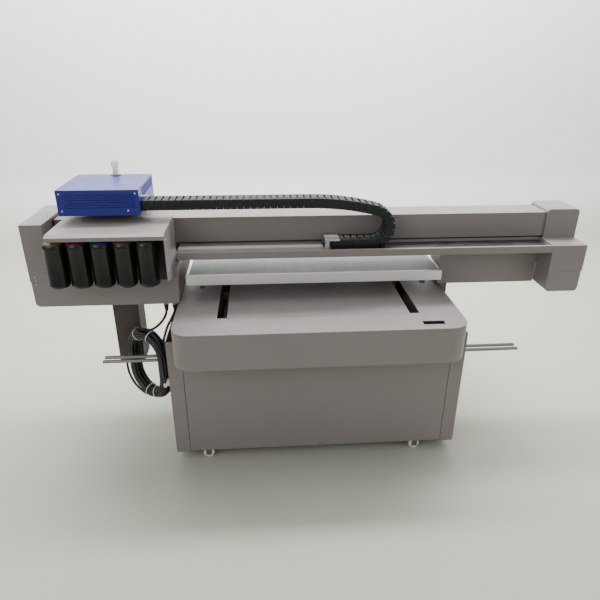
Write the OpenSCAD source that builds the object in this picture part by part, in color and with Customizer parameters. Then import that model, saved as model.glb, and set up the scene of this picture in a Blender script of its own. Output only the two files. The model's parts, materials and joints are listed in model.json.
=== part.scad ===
// Flatbed UV printer: a wheeled cabinet, a sliding vacuum table and a gantry
// that carries the print carriage, its cable chain and the ink bottles.
// +X is the operator's right, +Y the back and +Z up; millimetres; the floor is z = 0.

/* [Overall] */
// Width over the two end housings
overall_w = 2140; // [2120:10:2180]
// Height of the deck above the floor
deck_h = 639; // [629:2:649]
// Fineness of round parts
round_fn = 48; // [32:8:72]

/* [Cabinet] */
// Width over the side panels
cabinet_w = 1144; // [1144:2:1152]
// Depth of the cabinet
cabinet_d = 990; // [990:2:1000]
// Gap between the floor and the skirt
skirt_gap = 45; // [45:1:55]
// Width of the hood
hood_w = 1072; // [1066:2:1072]
// Depth of the hood
hood_d = 1220; // [1216:2:1240]
// Height of the hood's walls
hood_h = 143; // [135:1:146]
// Corner radius of the hood
hood_r = 70; // [50:2:90]
// Width of each slot in the deck
slot_w = 36; // [34:1:40]

/* [Table] */
// Width of the table
table_w = 1000; // [980:4:1010]
// Depth of the table
table_d = 720; // [700:4:740]
// Thickness of the table
table_t = 41; // [36:1:44]
// Space between the deck and the table's underside
table_lift = 69; // [66:1:74]
// How far the table is behind the middle of its slots
table_rest = 31; // [20:1:40]

/* [Gantry] */
// Height of the cable shelf's front lip
lip_h = 28; // [24:1:30]
// Height of the upper cover
cover_h = 98; // [94:1:98]
// Height of the raised end caps above the shelf
cap_h = 118; // [112:1:120]

/* [Carriage] */
// Width of the carriage cover
carriage_w = 289; // [280:1:292]
// Depth of the carriage cover
carriage_d = 280; // [270:1:284]
// Height of the carriage cover
carriage_h = 85; // [80:1:95]
// Travel of the print heads' lift
lift_travel = 60; // [40:5:70]

/* [Cable chain] */
// Height of one link
link_h = 38; // [34:1:38]
// Width of the chain
link_w = 72; // [64:1:72]
// Length of one link
link_pitch = 25; // [20:1:30]
// Radius of the chain's tight bend, at its middle
bend_r = 65; // [64:1:68]

/* [Ink] */
// Diameter of one bottle
bottle_d = 74; // [68:1:76]
// Height of one bottle
bottle_h = 172; // [165:1:174]
// Distance from bottle to bottle
bottle_pitch = 79; // [78:1:79]

/* [Hidden] */
$fn = round_fn;

half_w = overall_w / 2;
side_x = cabinet_w / 2;
body_y = cabinet_d / 2;
hood_x = hood_w / 2;
hood_y = hood_d / 2;
sheet = 2.5;
panel_top = 555;
frame_x = side_x - sheet;
frame_y = body_y - sheet;
tube = 40;
frame_low = 60;
frame_top = 490;

slot_x = 360;
slot_in = slot_x - slot_w / 2;
slot_out = slot_x + slot_w / 2;
slot_front = -478;
slot_back = 364;

table_low = deck_h + table_lift;
table_high = table_low + table_t;
screw_r = 10;
screw_z = 540;

lip_front = -340;
shelf_top = 845;
cover_front = -230;
cover_back = -112;
cover_low = 852;
cover_high = cover_low + cover_h;
beam_front = -215;
beam_back = -125;
beam_low = 820;
beam_high = 935;
belt_z = 880;
pulley_r = 16;
idler_x = -1030;
motor_x = 990;

end_x = 931;
cap_high = shelf_top + cap_h;
seam_z = 744;
left_in = -526;
tall_in = -990;

ink_left = -942;
ink_right = -541;
ink_front = -470;
ink_top = 960;
bottle_y = -430;
bottle_low = 760;
first_bottle = -929;

carriage_x = -930;
carriage_y = -325;
arm_z = 990;
chain_y = -310;
upper_z = 1000;
chain_drop = 162;
dip = 15;
dip_r = (chain_drop - bend_r * (1 + cos(dip))) / (1 - cos(dip));
dip_x = -22;
bend_x = dip_x + (dip_r - bend_r) * sin(dip);
lower_z = upper_z - chain_drop;
bend_z = lower_z + link_h / 2 + bend_r;
tray_z = lower_z - 2;
tube_at = [-776, -68];
heads_low = table_high + 3;

swivel_x = 430;
swivel_y = 474;
trail = 16;
wheel_r = 22;
wheel_z = 23.5;

rod_z = 405;
coil_at = [-670, -350, 384];
coil_turn = -40;
coil_loop = 90;
coil_side = 42;
coil_bundle = 27;
lead_r = 5;
left_route = [
  [-584, -330, 634], [-584, -330, 616], [-587, -338, 597], [-596, -350, 580], [-610, -361, 565],
  [-627, -368, 553], [-643, -368, 544], [-656, -362, 539]
];
right_route = [
  [-551, -330, 634], [-551, -330, 616], [-557, -340, 597], [-568, -353, 577], [-580, -367, 557],
  [-588, -378, 537], [-594, -387, 517], [-597, -394, 498]
];
loop_r = 2.5;
loop_route = [
  [-641, -312, 1056], [-630, -312, 1056], [-619, -307, 1055], [-613, -296, 1052],
  [-615, -284, 1049], [-626, -277, 1047], [-641, -277, 1047]
];

// A box between two values along each axis.
module block(x, y, z) {
  translate([x[0], y[0], z[0]]) cube([x[1] - x[0], y[1] - y[0], z[1] - z[0]]);
}

// The same thing on the left and on the right.
module both_sides() {
  children();
  mirror([1, 0, 0]) children();
}

// The same thing at the front and at the back.
module both_ends() {
  children();
  mirror([0, 1, 0]) children();
}

module rounded_rect(w, d, r) {
  square([w - 2 * r, d], center = true);
  square([w, d - 2 * r], center = true);
  for (x = [-1, 1], y = [-1, 1])
    translate([x * (w / 2 - r), y * (d / 2 - r)]) circle(r);
}

// A cylinder along X, between two values.
module rod_x(x, y, z, r) {
  translate([x[0], y, z]) rotate([0, 90, 0]) cylinder(r = r, h = x[1] - x[0]);
}

// A cylinder along Y, between two values.
module rod_y(x, y, z, r) {
  translate([x, y[1], z]) rotate([90, 0, 0]) cylinder(r = r, h = y[1] - y[0]);
}

// An upright outline of x and z, stretched along Y.
module along_y(y) {
  translate([0, y[1], 0]) rotate([90, 0, 0]) linear_extrude(y[1] - y[0]) children();
}

// A rectangle of x and z with two rounded corners, at its top or at its bottom.
module cap_outline(x, z, r, top) {
  flat = top ? [z[0], z[1] - r] : [z[0] + r, z[1]];
  corner_z = top ? z[1] - r : z[0] + r;
  translate([x[0], flat[0]]) square([x[1] - x[0], flat[1] - flat[0]]);
  translate([x[0] + r, z[0]]) square([x[1] - x[0] - 2 * r, z[1] - z[0]]);
  for (cx = [x[0] + r, x[1] - r]) translate([cx, corner_z]) circle(r);
}

// A round tube with eight flat sides through the points of a route.
module cord_tube(route, r) {
  sides = 8;
  n = len(route);
  turn = [for (k = [0:sides - 1]) 360 * k / sides];
  ahead = [for (i = [0:n - 1]) route[min(i + 1, n - 1)] - route[max(i - 1, 0)]];
  across = [for (a = ahead) cross(a, [0, 1, 0]) / norm(cross(a, [0, 1, 0]))];
  up = [for (i = [0:n - 1]) cross(ahead[i], across[i]) / norm(cross(ahead[i], across[i]))];
  rings = [
    for (i = [0:n - 1]) for (t = turn)
      route[i] + r * (cos(t) * across[i] + sin(t) * up[i])
  ];
  skin = [
    for (i = [0:n - 2]) for (k = [0:sides - 1]) for (half = [0, 1])
      half == 0
        ? [i * sides + k, i * sides + (k + 1) % sides, (i + 1) * sides + (k + 1) % sides]
        : [i * sides + k, (i + 1) * sides + (k + 1) % sides, (i + 1) * sides + k]
  ];
  start = [[for (k = [sides - 1:-1:0]) k]];
  end = [[for (k = [0:sides - 1]) (n - 1) * sides + k]];
  polyhedron(points = rings, faces = concat(skin, start, end), convexity = 4);
}

// The welded frame: two rings of square tube, four posts, the bed and the gantry's legs.
module base_frame() color([0.36, 0.34, 0.34]) difference() {
  union() {
    for (z = [frame_low, frame_top - tube]) {
      both_ends() block([-frame_x, frame_x], [frame_y - tube, frame_y], [z, z + tube]);
      both_sides() block([frame_x - tube, frame_x], [-frame_y, frame_y], [z, z + tube]);
    }
    both_sides() both_ends()
      block([frame_x - tube, frame_x], [frame_y - tube, frame_y], [frame_low, frame_top]);
    both_sides() block([slot_x - 20, slot_x + 20], [-600, 600], [frame_top, frame_top + tube]);
    both_sides() both_ends() block([445, 475], [447, 477], [frame_top, deck_h - 3]);
    both_sides() both_ends() block([340, 362], [570, 598], [frame_top + tube, deck_h - 3]);
    both_sides() block([538, 568], [beam_front, beam_back], [frame_low, beam_low]);
  }
  for (x = [-swivel_x, swivel_x], y = [-swivel_y, swivel_y])
    translate([x, y, frame_low]) cylinder(r = 5.05, h = 20);
}

module front_panel() color([0.44, 0.41, 0.40]) difference() {
  block([-516, 516], [-body_y, -body_y + sheet], [skirt_gap + 5, frame_top]);
  rod_y(12, [-body_y - 1, -body_y + sheet + 1], skirt_gap + 15, 4);
}

// One side panel: the wall and the strips that it turns round the front and the back.
module side_panel() difference() {
  union() {
    block([side_x - sheet, side_x], [-body_y, body_y], [skirt_gap, panel_top]);
    both_ends() block([518, side_x], [-body_y, -body_y + sheet], [skirt_gap, deck_h - hood_h - 2]);
    both_ends() block([hood_x + 2, side_x], [-body_y, -body_y + sheet], [skirt_gap, panel_top]);
  }
  for (y = [-366, -334]) rod_x([side_x - 10, side_x + 10], y, rod_z, 8);
}

module left_side_panel() color([0.44, 0.41, 0.40]) mirror([1, 0, 0]) side_panel();

module right_side_panel() color([0.44, 0.41, 0.40]) side_panel();

module rear_panel() color([0.44, 0.41, 0.40]) difference() {
  block([-516, 516], [body_y - sheet, body_y], [skirt_gap + 5, frame_top]);
  for (x = [-300, 300], row = [0:7])
    block([x - 90, x + 90], [body_y - 10, body_y + 10], [200 + 22 * row, 208 + 22 * row]);
}

// The hood: the deck and its walls in one skin, open below.
module hood() color([0.47, 0.44, 0.43]) difference() {
  translate([0, 0, deck_h - hood_h]) linear_extrude(hood_h) rounded_rect(hood_w, hood_d, hood_r);
  translate([0, 0, deck_h - hood_h - 1]) linear_extrude(hood_h - 2)
    rounded_rect(hood_w - 6, hood_d - 6, hood_r - 3);
  block([-slot_out, slot_out], [slot_front, slot_back], [deck_h - 10, deck_h + 10]);
  block([370, 449], [-574, -547], [deck_h - 10, deck_h + 10]);
}

// The middle of the deck, between the two slots, on two strips under the hood.
module centre_deck() color([0.47, 0.44, 0.43]) {
  block([-slot_in, slot_in], [slot_front + 1, slot_back - 1], [deck_h - 3, deck_h]);
  block([-slot_in, slot_in], [slot_front - 22, slot_front + 30], [deck_h - 6, deck_h - 3]);
  block([-slot_in, slot_in], [slot_back - 30, slot_back + 22], [deck_h - 6, deck_h - 3]);
}

// The sunk control panel at the right of the deck.
module control_panel() color([0.05, 0.05, 0.06]) difference() {
  block([364, 455], [-580, -541], [deck_h - 20, deck_h - 3]);
  block([370, 449], [-574, -547], [deck_h - 11, deck_h]);
}

module levelling_feet() color([0.12, 0.12, 0.13])
  both_sides() both_ends() translate([frame_x - tube / 2, 400, 0]) {
    cylinder(r = 22, h = 8);
    translate([0, 0, 8]) cylinder(r1 = 18, r2 = 10, h = 10);
    cylinder(r = 6, h = frame_low);
    translate([0, 0, frame_low - 10]) cylinder(r = 12, h = 10, $fn = 6);
  }

// The pair of rods through the cabinet, for carrying the printer, with stop collars inside.
module carry_rods() color([0.55, 0.55, 0.56]) for (y = [-366, -334]) {
  rod_x([-848, 848], y, rod_z, 7);
  both_sides() rod_x([side_x - sheet - 10, side_x - sheet], y, rod_z, 13);
}

module y_rails() color([0.70, 0.71, 0.73])
  both_sides() block([slot_x - 10, slot_x + 10], [-500, 400], [frame_top + tube, frame_top + tube + 16]);

module screw_bearings() color([0.35, 0.36, 0.38]) difference() {
  for (y = [[-485, -453], [453, 487]]) block([-35, 35], y, [frame_top, screw_z + 30]);
  rod_y(0, [-490, 490], screw_z, screw_r + 0.05);
}

module y_screw() color([0.75, 0.76, 0.78]) rod_y(0, [-484, 486], screw_z, screw_r);

module y_motor() color([0.12, 0.12, 0.13]) {
  block([-43, 43], [487, 500], [screw_z - 43, screw_z + 43]);
  block([-40, 40], [500, 590], [screw_z - 40, screw_z + 40]);
  block([-20, 20], [520, 560], [screw_z + 40, screw_z + 56]);
}

// A caster's fork, at its corner of the frame; the wheel trails to the left.
module fork(sx, sy) translate([sx * swivel_x, sy * swivel_y, 0]) color([0.82, 0.82, 0.80]) {
  translate([0, 0, frame_low - 0.6]) cylinder(r = 5, h = 16);
  translate([0, 0, 46]) cylinder(r = 14, h = 13.4);
  block([-29, 10], [-13, 13], [46, 49.5]);
  both_ends() block([-27, -5], [10, 13], [17, 47]);
  rod_y(-trail, [-15, 15], wheel_z, 3);
}

module wheel(sx, sy) translate([sx * swivel_x - trail, sy * swivel_y, 0]) color([0.93, 0.93, 0.92])
  difference() {
    rod_y(0, [-9, 9], wheel_z, wheel_r);
    rod_y(0, [-10, 10], wheel_z, 3.05);
    for (y = [[-10, -6], [6, 10]]) difference() {
      rod_y(0, y, wheel_z, wheel_r - 5);
      rod_y(0, [y[0] - 1, y[1] + 1], wheel_z, 7);
    }
  }

module front_left_fork() fork(-1, -1);
module front_left_wheel() wheel(-1, -1);
module front_right_fork() fork(1, -1);
module front_right_wheel() wheel(1, -1);
module rear_left_fork() fork(-1, 1);
module rear_left_wheel() wheel(-1, 1);
module rear_right_fork() fork(1, 1);
module rear_right_wheel() wheel(1, 1);

// The honeycomb plate that the vacuum draws through.
module table_top() color([0.72, 0.73, 0.74]) translate([0, table_rest, 0])
  block([-table_w / 2 + 10, table_w / 2 - 10], [-table_d / 2 + 10, table_d / 2 - 10],
    [table_high - 14, table_high - 0.5]);

// The aluminium border and the pan of the table.
module table_frame() color([0.86, 0.87, 0.89]) translate([0, table_rest, 0]) difference() {
  block([-table_w / 2, table_w / 2], [-table_d / 2, table_d / 2], [table_low, table_high]);
  block([-table_w / 2 + 10, table_w / 2 - 10], [-table_d / 2 + 10, table_d / 2 - 10],
    [table_high - 14, table_high + 1]);
  block([-table_w / 2 + 20, table_w / 2 - 20], [-table_d / 2 + 20, table_d / 2 - 20],
    [table_low + 3, table_high]);
}

// The two walls that pass through the deck's slots, the yoke below and the screw's nut.
module table_supports() color([0.30, 0.31, 0.33]) translate([0, table_rest, 0]) difference() {
  union() {
    both_sides() block([slot_x - 13, slot_x + 13], [-100, 100], [566, table_low]);
    both_sides() block([slot_x - 24, slot_x + 24], [-100, 100], [566, 576]);
    block([-slot_x, slot_x], [-40, 40], [566, 580]);
    block([-30, 30], [-30, 30], [screw_z - 20, 566]);
    both_sides() both_ends() block([437, 457], [-295, -255], [table_low - 40, table_low]);
  }
  rod_y(0, [-50, 50], screw_z, screw_r + 0.05);
  both_sides() both_ends() block([441, 458], [-291, -254], [table_low - 41, table_low - 5]);
}

module rail_blocks() color([0.45, 0.46, 0.48]) translate([0, table_rest, 0])
  both_sides() both_ends() difference() {
    block([slot_x - 22, slot_x + 22], [-100, -60], [frame_top + tube + 4, 566]);
    block([slot_x - 10.1, slot_x + 10.1], [-101, -59], [frame_top + tube, frame_top + tube + 16.1]);
  }

// The box beam between the two legs, with the block and pin of the belt's idler.
module gantry_beam() color([0.30, 0.30, 0.31]) {
  difference() {
    block([-1000, 940], [beam_front, beam_back], [beam_low, beam_high]);
    block([-1001, 941], [beam_front + 6, beam_back - 6], [beam_low + 6, beam_high - 6]);
  }
  block([-1048, -1000], [-165, beam_back], [belt_z - 20, belt_z + 20]);
  rod_y(idler_x, [beam_back, -99], belt_z, 4);
}

// The long cover over the beam's front and top, and the ribs that hold it.
module upper_cover() color([0.44, 0.41, 0.40]) {
  block([-988, 960], [cover_front, cover_front + 2], [cover_low, cover_high]);
  block([-988, 960], [cover_front, cover_back], [cover_high - 2, cover_high]);
  for (x = [-900:300:900]) block([x - 10, x + 10], [cover_front + 2, beam_front], [890, 920]);
}

// The shelf along the beam: its front lip, the flat part and the sunk tray of the chain.
module chain_shelf() color([0.42, 0.39, 0.38]) {
  block([left_in, end_x], [lip_front, lip_front + 14], [shelf_top - lip_h, shelf_top]);
  block([left_in, 30], [lip_front, beam_front], [shelf_top - 4, shelf_top]);
  block([27, 30], [lip_front, beam_front], [tray_z - 4, shelf_top]);
  block([27, end_x], [lip_front, beam_front], [tray_z - 4, tray_z]);
  block([27, end_x], [cover_front, beam_front], [tray_z - 4, shelf_top]);
}

// The sheet box under the right arm of the gantry.
module lower_cover() color([0.44, 0.41, 0.40]) difference() {
  block([520, end_x], [cover_front, cover_back], [651, tray_z - 4]);
  block([522, end_x + 1], [cover_front + 2, cover_back + 1], [653, lower_z]);
  block([519, end_x + 1], [beam_front, cover_back + 1], [beam_low, lower_z]);
  block([535, 571], [beam_front - 3, beam_back + 3], [640, 660]);
}

// The box at the right end, above the seam.
module right_end_box() color([0.46, 0.43, 0.42]) difference() {
  block([end_x, half_w], [lip_front, -95], [seam_z - 6, shelf_top]);
  block([end_x + sheet, half_w - sheet], [lip_front + sheet, -95 - sheet], [seam_z - 7, shelf_top - sheet]);
  block([end_x - 1, half_w - 6], [cover_front, -102], [beam_low - 5, shelf_top + 10]);
}

// The box at the right end, below the seam, with rounded lower corners.
module right_end_base() color([0.46, 0.43, 0.42]) difference() {
  along_y([lip_front + 1, -96])
    cap_outline([end_x + 2, half_w - 3], [650, seam_z - 6], 16, false);
  along_y([lip_front + 1 + sheet, -96 - sheet])
    cap_outline([end_x + 2 + sheet, half_w - 3 - sheet], [650 + sheet, seam_z + 20], 14, false);
}

// The raised cap over the beam's right end; its collar reaches over the upper cover.
module right_cap() color([0.46, 0.43, 0.42]) difference() {
  along_y([-238, -95]) cap_outline([937, half_w], [shelf_top, cap_high], 14, true);
  along_y([-238 + sheet, -95 - sheet])
    cap_outline([937 + sheet, half_w - sheet], [shelf_top - 1, cap_high - sheet], 12, true);
  block([930, 960], [cover_front - 1.5, -97.5], [shelf_top - 1, cover_high + 1.5]);
}

// The left housing: the tall end and the low box under the beam, open below.
module left_housing() color([0.46, 0.43, 0.42]) difference() {
  union() {
    block([-half_w, tall_in], [lip_front - 5, -58], [seam_z, cap_high]);
    block([tall_in, left_in], [lip_front - 5, -110], [seam_z, 793]);
  }
  block([-half_w + sheet, tall_in - sheet], [lip_front - 5 + sheet, -58 - sheet],
    [seam_z - 1, cap_high - sheet]);
  block([-half_w + sheet, left_in - sheet], [lip_front - 5 + sheet, -110 - sheet], [seam_z - 1, 790.5]);
  block([tall_in - 10, tall_in + 1], [-240, -62], [793, cap_high - 12]);
  block([ink_left + 2, ink_right - 2], [lip_front - 6, lip_front], [seam_z - 1, 785]);
  block([-571, -535], [beam_front - 3, beam_back + 3], [780, 800]);
}

// The pan below the seam on the left, open above, with the two glands of the leads.
module left_base() color([0.46, 0.43, 0.42]) {
  difference() {
    along_y([lip_front - 4, 18])
      cap_outline([-half_w + 3, left_in - 2], [642, seam_z], 18, false);
    along_y([lip_front - 4 + sheet, 18 - sheet])
      cap_outline([-half_w + 3 + sheet, left_in - 2 - sheet], [642 + sheet, seam_z + 30], 15, false);
    block([-571, -535], [beam_front - 3, beam_back + 3], [640, 650]);
  }
  for (x = [left_route[0][0], right_route[0][0]])
    translate([x, -330, 634]) cylinder(r = 8, h = 8.5);
}

// The sheet hood over the ink bottles, open in front and below.
module ink_hood() color([0.47, 0.44, 0.43]) {
  block([ink_left, ink_right], [ink_front + 18, cover_front - 2], [ink_top - 3, ink_top]);
  translate([ink_left, 0, 0]) rotate([90, 0, 90]) linear_extrude(ink_right - ink_left)
    polygon([
      [ink_front, ink_top - 22], [ink_front, ink_top - 8], [ink_front + 18, ink_top],
      [ink_front + 18, ink_top - 3], [ink_front + 3, ink_top - 10], [ink_front + 3, ink_top - 22]
    ]);
  translate([ink_right - 2, 0, 0]) rotate([90, 0, 90]) linear_extrude(2)
    polygon([
      [ink_front, ink_top - 8], [ink_front + 18, ink_top], [cover_front - 2, ink_top],
      [cover_front - 2, 796], [lip_front - 5, 796], [lip_front - 5, seam_z + 2],
      [lip_front - 9, seam_z + 2], [ink_front, 789]
    ]);
  translate([ink_left, 0, 0]) rotate([90, 0, 90]) linear_extrude(2)
    polygon([
      [-385, ink_top - 2], [cover_front - 2, ink_top - 2], [cover_front - 2, 796],
      [lip_front - 5, 796], [lip_front - 5, seam_z + 2], [lip_front - 9, seam_z + 2], [-385, 765]
    ]);
}

// The black plate behind the bottles and the clips that hold them.
module bottle_rack() color([0.03, 0.03, 0.035]) {
  block([ink_left + 2, ink_right - 2], [lip_front - 11, lip_front - 5], [seam_z + 2, ink_top - 3]);
  for (k = [0:4], z = [800, 890]) difference() {
    block([first_bottle + k * bottle_pitch - 10, first_bottle + k * bottle_pitch + 10],
      [bottle_y + 10, lip_front - 11], [z, z + 14]);
    translate([first_bottle + k * bottle_pitch, bottle_y, z - 1]) cylinder(r = bottle_d / 2, h = 16);
  }
}

module ink_bottles() color([0.05, 0.05, 0.055])
  for (k = [0:4]) translate([first_bottle + k * bottle_pitch, bottle_y, bottle_low])
    rotate_extrude() polygon([
      [0, 0], [bottle_d / 2 - 9, 0], [bottle_d / 2 - 4, 3], [bottle_d / 2, 12],
      [bottle_d / 2, bottle_h - 20], [bottle_d / 2 - 2, bottle_h - 12], [bottle_d / 2 - 7, bottle_h - 6],
      [bottle_d / 2 - 15, bottle_h - 2], [12, bottle_h], [0, bottle_h]
    ]);

// The closed duct that hangs under the left housing.
module left_column() color([0.30, 0.26, 0.25]) {
  difference() {
    block([-820, -718], [-230, -120], [324, 642]);
    block([-817, -721], [-227, -123], [327, 639]);
  }
  block([-826, -794], [-232, -200], [318, 324]);
}

module x_rails() color([0.70, 0.71, 0.73])
  for (z = [832, 912]) block([-980, 620], [beam_back, beam_back + 12], [z, z + 16]);

// The carriage motor at the beam's right end, with its plate and shaft.
module x_motor() color([0.12, 0.12, 0.13]) {
  block([940, 950], [beam_front, beam_back], [belt_z - 42, belt_z + 42]);
  block([950, 1030], [beam_front, beam_back - 2], [belt_z - 40, belt_z + 40]);
  rod_y(motor_x, [beam_back - 2, -99], belt_z, 7);
}

module pulley(x, bore) color([0.60, 0.61, 0.63]) difference() {
  union() {
    rod_y(x, [-113.5, -99.5], belt_z, pulley_r - 1.1);
    for (y = [[-115, -113], [-99.5, -98.5]]) rod_y(x, y, belt_z, pulley_r + 3);
  }
  rod_y(x, [-120, -90], belt_z, bore);
}

module drive_pulley() pulley(motor_x, 7.05);
module idler_pulley() pulley(idler_x, 4.05);

module x_belt() color([0.08, 0.08, 0.08]) difference() {
  along_y([-112.5, -100.5]) {
    translate([idler_x, belt_z - pulley_r]) square([motor_x - idler_x, 2 * pulley_r]);
    for (x = [idler_x, motor_x]) translate([x, belt_z]) circle(pulley_r);
  }
  along_y([-113, -100]) {
    translate([idler_x, belt_z - pulley_r + 1]) square([motor_x - idler_x, 2 * pulley_r - 2]);
    for (x = [idler_x, motor_x]) translate([x, belt_z]) circle(pulley_r - 1);
  }
}

// The capping station in the left pan: one pad under each head, and the wiper.
module cap_station() color([0.20, 0.20, 0.22]) {
  block([-880, -690], [-88, -8], [642 + sheet, 700]);
  for (x = [-845, -785, -725]) block([x - 24, x + 24], [-76, -20], [700, heads_low - 4]);
  block([-686, -682], [-84, -12], [642 + sheet, heads_low - 5]);
}

// The carriage's bearing blocks, back plate, arm, guide rods and chain bracket.
module carriage_frame() color([0.55, 0.56, 0.58]) {
  for (z = [832, 912], x = [-910, -710]) difference() {
    block([x, x + 60], [-122, -98], [z - 8, z + 24]);
    block([x - 1, x + 61], [-126, beam_back + 12.1], [z - 0.1, z + 16.1]);
  }
  block([carriage_x + 5, carriage_x + carriage_w - 5], [-98, -90], [812, arm_z]);
  block([carriage_x + 2, carriage_x + carriage_w - 2], [carriage_y + 2, carriage_y + carriage_d - 2],
    [arm_z, arm_z + 6]);
  block([carriage_x + carriage_w - 2, carriage_x + carriage_w + 21], [chain_y - 2, chain_y + link_w + 2],
    [arm_z, arm_z + 6]);
  block([carriage_x + carriage_w + 1, carriage_x + carriage_w + 21], [chain_y, chain_y + link_w],
    [arm_z + 6, upper_z]);
  for (x = [-905, -665]) translate([x, -62, heads_low + 38]) cylinder(r = 6, h = arm_z - heads_low - 38);
}

// The blue cover: open below, with louvres in front and a hole for the grille.
module carriage_cover() color([0.12, 0.18, 0.62]) difference() {
  x0 = carriage_x;
  x1 = carriage_x + carriage_w;
  y0 = carriage_y;
  y1 = carriage_y + carriage_d;
  z0 = arm_z + 6;
  z1 = z0 + carriage_h;
  block([x0, x1], [y0, y1], [arm_z - 2, z1]);
  block([x0 + 2, x1 - 2], [y0 + 2, y1 - 2], [arm_z - 3, z1 - 2]);
  block([x1 - 3, x1 + 1], [chain_y - 2, chain_y + link_w + 2], [arm_z - 3, z0]);
  for (row = [0:5])
    block([x0 + 30, x1 - 14], [y0 - 1, y0 + 3], [z0 + 21 + 9 * row, z0 + 24 + 9 * row]);
  block([x1 - 3, x1 + 1], [y0 + 60, y1 - 20], [z0 + 46, z1 - 8]);
  translate([tube_at[0], tube_at[1], z1 - 5]) cylinder(r = 12, h = 10);
}

// The clear filler tube on top of the carriage.
module filler_tube() color([0.90, 0.92, 0.94, 0.6])
  translate([tube_at[0], tube_at[1], arm_z + 6 + carriage_h - 8]) difference() {
    union() {
      cylinder(r = 11.9, h = 64);
      translate([0, 0, 40]) cylinder(r = 15, h = 24);
      translate([0, 0, 8]) cylinder(r = 16, h = 3);
    }
    translate([0, 0, -1]) cylinder(r = 9, h = 66);
  }

// The plate that the heads hang from, with bushes on the carriage's guide rods.
module head_plate() color([0.50, 0.51, 0.53]) difference() {
  union() {
    block([-922, -648], [-86, -8], [heads_low + 46, heads_low + 54]);
    for (x = [-905, -665]) translate([x, -62, heads_low + 54]) cylinder(r = 12, h = 34);
  }
  for (x = [-905, -665]) translate([x, -62, heads_low + 40]) cylinder(r = 6.05, h = 60);
  for (x = [-845, -785, -725]) block([x - 20, x + 20], [-68, -28], [heads_low + 40, heads_low + 60]);
}

module print_heads() color([0.15, 0.15, 0.17])
  for (x = [-845, -785, -725]) {
    block([x - 25, x + 25], [-78, -18], [heads_low, heads_low + 46]);
    block([x - 19, x + 19], [-67, -29], [heads_low + 46, heads_low + 96]);
  }

// The two ultraviolet lamps, one at each side of the heads.
module uv_lamps() color([0.35, 0.36, 0.40])
  for (x = [-894, -676]) difference() {
    block([x - 16, x + 16], [-46, -14], [heads_low + 4, heads_low + 46]);
    block([x - 10, x + 10], [-42, -18], [heads_low + 3, heads_low + 10]);
  }

// Links of the chain side by side from one x to the next, on a thinner core.
module links(x, z) {
  count = max(1, floor((x[1] - x[0]) / link_pitch));
  pitch = (x[1] - x[0]) / count;
  block(x, [chain_y + 1, chain_y + link_w - 1], [z + 1, z + link_h - 1]);
  for (k = [0:count - 1])
    block([x[0] + k * pitch, x[0] + (k + 1) * pitch - 2], [chain_y, chain_y + link_w], [z, z + link_h]);
}

module chain_upper_run() color([0.06, 0.06, 0.065])
  links([carriage_x + carriage_w + 1, dip_x - 0.3], upper_z);

// A stretch of the chain along an arc, from one angle and through another.
module chain_arc(x, z, r, start, through, slim) translate([x, chain_y + link_w / 2, z])
  rotate([90, 0, 0]) rotate([0, 0, start])
    rotate_extrude(angle = through, $fn = 4 * round_fn)
      translate([r, 0]) square([link_h - 2 * slim, link_w - 2 * slim], center = true);

// Where the chain turns back: a wide, slimmer arc that dips, then a tight one down to the tray.
module chain_bend() color([0.06, 0.06, 0.065]) {
  chain_arc(dip_x, upper_z + link_h / 2 - dip_r, dip_r, 89.9 - dip, dip + 0.1, 0.2);
  chain_arc(bend_x, bend_z, bend_r, -90, 180 - dip, 0);
}

module chain_lower_run() color([0.06, 0.06, 0.065]) links([60, bend_x - 0.3], lower_z);

// The bent plate that clamps the chain's fixed end to the shelf.
module chain_clamp() color([0.62, 0.62, 0.62]) {
  block([34, 91], [-325, -235], [lower_z + link_h, lower_z + link_h + 3]);
  block([34, 50], [-325, -322], [tray_z, lower_z + link_h]);
  block([34, 50], [-322, -313], [tray_z, tray_z + 3]);
  block([34, 50], [-237, -234], [tray_z, lower_z + link_h]);
}

module left_lead() color([0.05, 0.05, 0.05]) cord_tube(left_route, lead_r);
module right_lead() color([0.05, 0.05, 0.05]) cord_tube(right_route, lead_r);

// The white lead that loops out of the carriage cover's side and back.
module carriage_lead() color([0.90, 0.90, 0.88]) cord_tube(loop_route, loop_r);

// The tied hank that both leads are wound into, hung round the carrying rods.
module lead_coil() color([0.05, 0.05, 0.055]) translate(coil_at) rotate([90, 0, coil_turn]) {
  for (s = [0, 180]) rotate([0, 0, s]) translate([0, coil_side, 0])
    rotate_extrude(angle = 180) translate([coil_loop, 0]) circle(coil_bundle, $fn = 16);
  for (x = [-coil_loop, coil_loop]) translate([x, coil_side, 0]) rotate([90, 0, 0])
    cylinder(r = coil_bundle, h = 2 * coil_side, $fn = 16);
}

// The small connectors on the hank's front limb.
module lead_plugs() color([0.85, 0.85, 0.83]) {
  block([-594, -577], [-446, -424], [332, 356]);
  block([-606, -594], [-444, -428], [322, 340]);
  block([-586, -576], [-440, -426], [318, 332]);
}

base_frame();
front_panel();
left_side_panel();
right_side_panel();
rear_panel();
hood();
centre_deck();
control_panel();
levelling_feet();
carry_rods();
y_rails();
screw_bearings();
y_screw();
y_motor();
front_left_fork();
front_left_wheel();
front_right_fork();
front_right_wheel();
rear_left_fork();
rear_left_wheel();
rear_right_fork();
rear_right_wheel();
table_top();
table_frame();
table_supports();
rail_blocks();
gantry_beam();
upper_cover();
chain_shelf();
lower_cover();
right_end_box();
right_end_base();
right_cap();
left_housing();
left_base();
ink_hood();
bottle_rack();
ink_bottles();
left_column();
x_rails();
x_motor();
drive_pulley();
idler_pulley();
x_belt();
cap_station();
carriage_frame();
carriage_cover();
filler_tube();
head_plate();
print_heads();
uv_lamps();
chain_upper_run();
chain_bend();
chain_lower_run();
chain_clamp();
left_lead();
right_lead();
lead_coil();
lead_plugs();
carriage_lead();
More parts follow.
